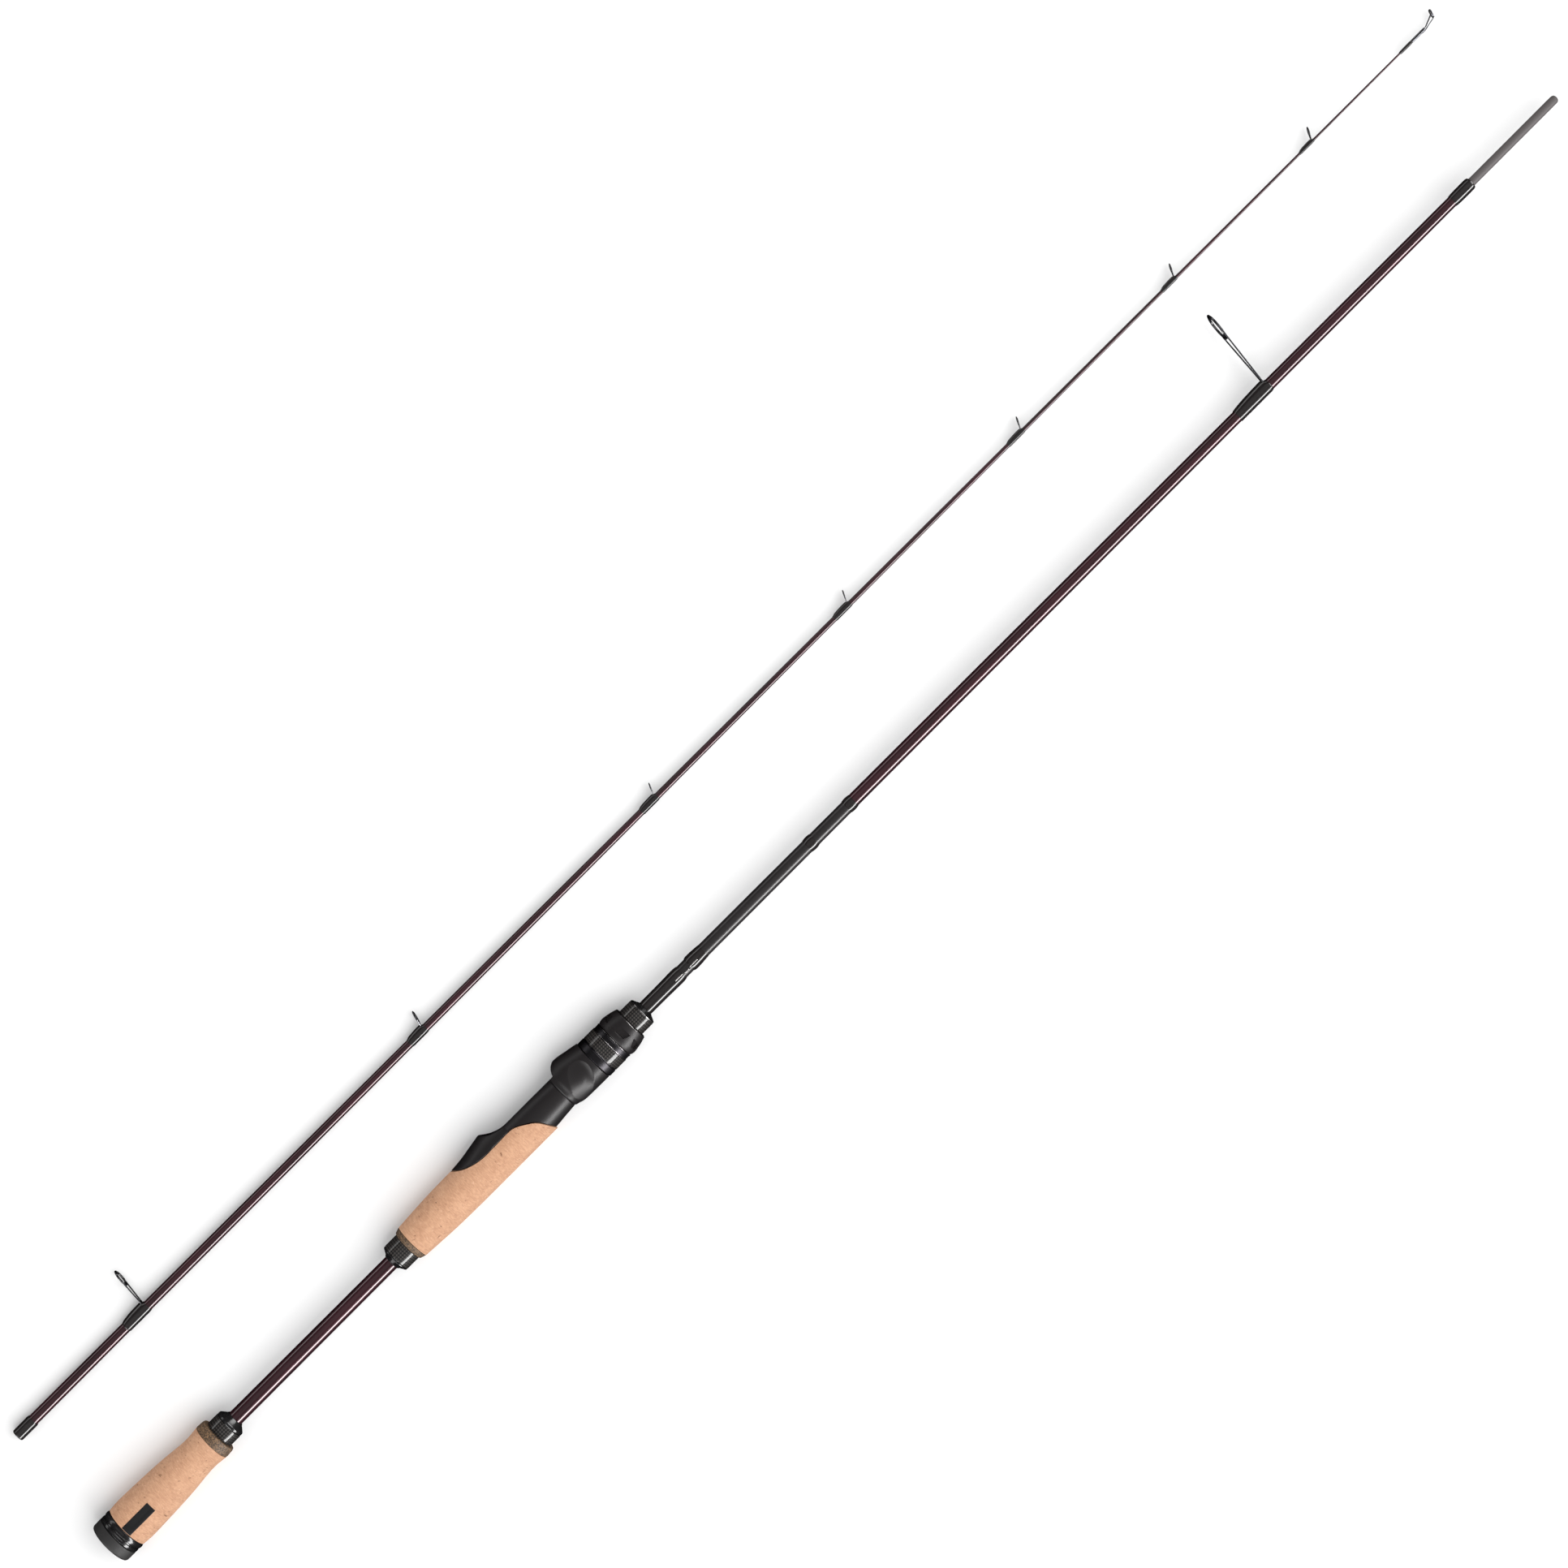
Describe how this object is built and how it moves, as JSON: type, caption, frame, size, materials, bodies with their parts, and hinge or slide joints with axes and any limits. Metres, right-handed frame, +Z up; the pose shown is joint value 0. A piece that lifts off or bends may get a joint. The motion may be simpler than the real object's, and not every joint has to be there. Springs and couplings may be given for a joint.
{
  "type": "spinning rod",
  "caption": "Two-piece spinning rod taken apart: split cork handle, hooded reel seat with lock nut, tapered blank sections and single-foot line guides.",
  "frame": {"origin": "on the surface that both sections lie on, under the middle of the whole layout", "axes": "+X along both sections towards the tip, +Y to the side that the guides stand on, +Z up"},
  "size_m": [1.1094, 0.1166, 0.0268],
  "materials": {
    "cork": "matte natural cork",
    "burl_cork": "matte composite cork, dark and speckled",
    "burgundy_blank": "clear-coated graphite tube, very dark burgundy",
    "grey_graphite": "bare ground graphite",
    "rubber": "matte rubber",
    "black_trim": "black anodised, semi-gloss",
    "carbon_weave": "clear-coated carbon weave",
    "black_seat": "satin black",
    "arbor_foam": "rigid foam, hidden",
    "nut_metal": "dark anodised with bright edges",
    "guide_metal": "dark polished steel",
    "guide_liner": "polished ceramic liner",
    "black_wrap": "thread under glossy epoxy"
  },
  "bodies": {
    "butt_section": {"butt_blank": "burgundy_blank", "ferrule_spigot": "grey_graphite", "butt_cap": "rubber", "butt_trim_ring": "black_trim", "rear_cork_grip": "cork", "rear_burl_ring": "burl_cork", "rear_check_sleeve": "carbon_weave", "rear_check_collar": "black_trim", "mid_check_collar": "black_trim", "mid_check_sleeve": "carbon_weave", "mid_burl_ring": "burl_cork", "fore_cork_grip": "cork", "reel_seat": "black_seat", "seat_arbor_rear": "arbor_foam", "seat_arbor_front": "arbor_foam", "front_check_sleeve": "carbon_weave", "front_check_collar": "black_trim", "hook_keeper": "guide_metal", "keeper_rear_wrap": "black_wrap", "keeper_front_wrap": "black_wrap", "trim_wrap_rear": "black_wrap", "trim_wrap_front": "black_wrap", "butt_guide_frame": "guide_metal", "butt_guide_ring": "guide_liner", "butt_guide_wrap": "black_wrap", "butt_ferrule_wrap": "black_wrap"},
    "hood": {"sliding_hood": "black_seat"},
    "nut": {"lock_nut": "nut_metal", "nut_carbon_band": "carbon_weave", "nut_grip_ring": "black_trim"},
    "tip_section": {"tip_blank": "burgundy_blank", "tip_ferrule_wrap": "black_wrap", "stripper_guide_frame": "guide_metal", "stripper_guide_ring": "guide_liner", "stripper_guide_wrap": "black_wrap", "guide_1_frame": "guide_metal", "guide_1_ring": "guide_liner", "guide_1_wrap": "black_wrap", "guide_2_frame": "guide_metal", "guide_2_ring": "guide_liner", "guide_2_wrap": "black_wrap", "guide_3_frame": "guide_metal", "guide_3_ring": "guide_liner", "guide_3_wrap": "black_wrap", "guide_4_frame": "guide_metal", "guide_4_ring": "guide_liner", "guide_4_wrap": "black_wrap", "guide_5_frame": "guide_metal", "guide_5_ring": "guide_liner", "guide_5_wrap": "black_wrap", "guide_6_frame": "guide_metal", "guide_6_ring": "guide_liner", "guide_6_wrap": "black_wrap", "tip_top_frame": "guide_metal", "tip_top_ring": "guide_liner", "tip_top_wrap": "black_wrap"}
  },
  "joints": [
    {"name": "hood_slide", "type": "slide", "parent": "butt_section", "child": "hood", "axis": [1, 0, 0], "range_m": [0, 0.014]},
    {"name": "nut_turn", "type": "hinge", "parent": "hood", "child": "nut", "pos_m": [-0.17, -0.04486, 0.01342], "axis": [1, 0, 0], "range_deg": [0, 2880]},
    {"name": "tip_lift", "type": "slide", "parent": "butt_section", "child": "tip_section", "axis": [0, 0, 1], "range_m": [0, 0.15]}
  ],
  "couplings": [
    {"joint": "hood_slide", "follows": "nut_turn", "m_per_rad": 0.00027852}
  ]
}
